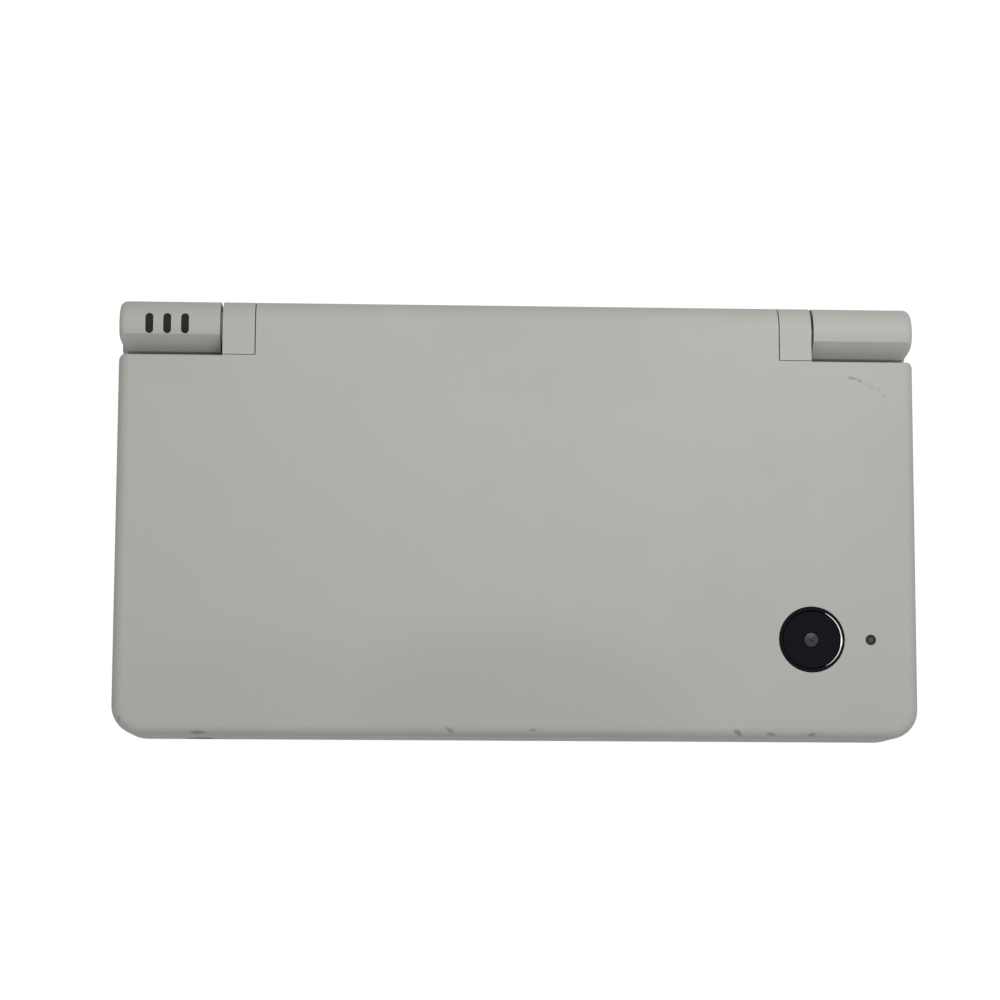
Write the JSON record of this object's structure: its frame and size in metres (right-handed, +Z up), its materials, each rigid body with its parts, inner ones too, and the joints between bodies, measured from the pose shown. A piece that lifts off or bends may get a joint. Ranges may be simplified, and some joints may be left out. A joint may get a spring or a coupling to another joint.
{
  "type": "clamshell handheld game console",
  "caption": "Slim clamshell handheld game console, closed: hinged lid with round camera window, base with buttons, slots and stylus inside.",
  "frame": {"origin": "on the table under the middle of the closed body", "axes": "+X to the right along the long side, +Y towards the hinge at the back, +Z up"},
  "size_m": [0.137, 0.075, 0.0189],
  "materials": {
    "case_plastic": "fine matt moulded plastic, light warm grey",
    "inner_plastic": "fine matt moulded plastic, light warm grey",
    "key_plastic": "smooth satin plastic, light grey",
    "socket_plastic": "black moulded plastic",
    "bush_plastic": "natural acetal",
    "rubber": "soft matt rubber",
    "display_glass": "dark display glass",
    "dark_window": "glossy near-black clear plastic",
    "sheet_metal": "thin bright sheet",
    "steel": "plated steel",
    "board": "green solder mask",
    "battery_wrap": "plain pale wrap",
    "cable_film": "amber film"
  },
  "bodies": {
    "base": {"bottom_case": "case_plastic", "top_case": "case_plastic", "feet": "rubber", "battery_cover": "case_plastic", "battery_cover_screws": "steel", "battery": "battery_wrap", "main_board": "board", "lower_display": "display_glass", "lower_display_frame": "sheet_metal", "touch_panel": "display_glass", "game_card_socket": "socket_plastic", "memory_card_socket": "sheet_metal", "headphone_socket": "socket_plastic", "power_socket": "socket_plastic", "status_light_guide": "dark_window", "case_screws": "steel", "face_button_membrane": "rubber", "menu_button_membrane": "rubber", "hinge_cartridge": "steel", "hinge_bush": "bush_plastic", "shoulder_pins": "steel", "shoulder_springs": "steel"},
    "lid": {"lid_outer_shell": "case_plastic", "lid_inner_shell": "inner_plastic", "upper_window": "dark_window", "upper_display": "display_glass", "upper_display_frame": "sheet_metal", "left_speaker": "socket_plastic", "right_speaker": "socket_plastic", "lid_bumpers": "rubber", "lid_screws": "steel", "camera_ring": "dark_window", "camera_window": "dark_window", "outer_camera": "socket_plastic", "camera_lamp_guide": "dark_window", "inner_camera_window": "dark_window", "inner_camera": "socket_plastic", "microphone": "sheet_metal", "hinge_cap_left": "case_plastic", "hinge_cap_right": "case_plastic", "hinge_cam_shaft": "steel", "display_ribbon_cable": "cable_film"},
    "dpad_seat": {"dpad_membrane": "rubber"},
    "dpad": {"dpad": "key_plastic"},
    "a_button": {"a_button": "key_plastic"},
    "b_button": {"b_button": "key_plastic"},
    "x_button": {"x_button": "key_plastic"},
    "y_button": {"y_button": "key_plastic"},
    "start_button": {"start_button": "key_plastic"},
    "select_button": {"select_button": "key_plastic"},
    "power_button": {"power_button": "key_plastic"},
    "left_shoulder_button": {"left_shoulder_button": "inner_plastic"},
    "right_shoulder_button": {"right_shoulder_button": "inner_plastic"},
    "volume_rocker": {"volume_rocker": "inner_plastic"},
    "memory_card_cover": {"memory_card_cover": "case_plastic"},
    "stylus": {"stylus": "inner_plastic"}
  },
  "joints": [
    {"name": "lid_hinge", "type": "hinge", "parent": "base", "child": "lid", "pos_m": [0, 0.03295, 0.0144], "axis": [-1, 0, 0], "range_deg": [0, 160]},
    {"name": "a_press", "type": "slide", "parent": "base", "child": "a_button", "axis": [0, 0, -1], "range_m": [0, 0.00045], "stiffness_N_per_m": 1500, "deforming": ["face_button_membrane"]},
    {"name": "b_press", "type": "slide", "parent": "base", "child": "b_button", "axis": [0, 0, -1], "range_m": [0, 0.00045], "stiffness_N_per_m": 1500, "deforming": ["face_button_membrane"]},
    {"name": "x_press", "type": "slide", "parent": "base", "child": "x_button", "axis": [0, 0, -1], "range_m": [0, 0.00045], "stiffness_N_per_m": 1500, "deforming": ["face_button_membrane"]},
    {"name": "y_press", "type": "slide", "parent": "base", "child": "y_button", "axis": [0, 0, -1], "range_m": [0, 0.00045], "stiffness_N_per_m": 1500, "deforming": ["face_button_membrane"]},
    {"name": "start_press", "type": "slide", "parent": "base", "child": "start_button", "axis": [0, 0, -1], "range_m": [0, 0.00045], "stiffness_N_per_m": 1200, "deforming": ["menu_button_membrane"]},
    {"name": "select_press", "type": "slide", "parent": "base", "child": "select_button", "axis": [0, 0, -1], "range_m": [0, 0.00045], "stiffness_N_per_m": 1200, "deforming": ["menu_button_membrane"]},
    {"name": "power_press", "type": "slide", "parent": "base", "child": "power_button", "axis": [0, 0, -1], "range_m": [0, 0.00045], "stiffness_N_per_m": 1200, "deforming": ["menu_button_membrane"]},
    {"name": "dpad_tilt_forward", "type": "hinge", "parent": "base", "child": "dpad_seat", "pos_m": [-0.052, 0.00595, 0.007], "axis": [1, 0, 0], "range_deg": [-2.5, 2.5], "stiffness_Nm_per_rad": 0.18, "deforming": ["dpad_membrane"]},
    {"name": "dpad_tilt_sideways", "type": "hinge", "parent": "dpad_seat", "child": "dpad", "pos_m": [-0.052, 0.00595, 0.007], "axis": [0, 1, 0], "range_deg": [-2.5, 2.5], "stiffness_Nm_per_rad": 0.18, "deforming": ["dpad_membrane"]},
    {"name": "left_shoulder_press", "type": "hinge", "parent": "base", "child": "left_shoulder_button", "pos_m": [-0.0461, 0.03425, 0.006], "axis": [0, 0, 1], "range_deg": [0, 2.3], "stiffness_Nm_per_rad": 0.75},
    {"name": "right_shoulder_press", "type": "hinge", "parent": "base", "child": "right_shoulder_button", "pos_m": [0.0461, 0.03425, 0.006], "axis": [0, 0, -1], "range_deg": [0, 2.3], "stiffness_Nm_per_rad": 0.75},
    {"name": "volume_rock", "type": "hinge", "parent": "base", "child": "volume_rocker", "pos_m": [-0.066, 0.00895, 0.0073], "axis": [0, 0, 1], "range_deg": [-2.5, 2.5], "stiffness_Nm_per_rad": 0.2},
    {"name": "memory_card_cover_swing", "type": "hinge", "parent": "base", "child": "memory_card_cover", "pos_m": [0.068, 0.00035, 0.0044], "axis": [0, 0, -1], "range_deg": [0, 90]},
    {"name": "stylus_slide", "type": "slide", "parent": "base", "child": "stylus", "axis": [1, 0, 0], "range_m": [0, 0.095]}
  ]
}
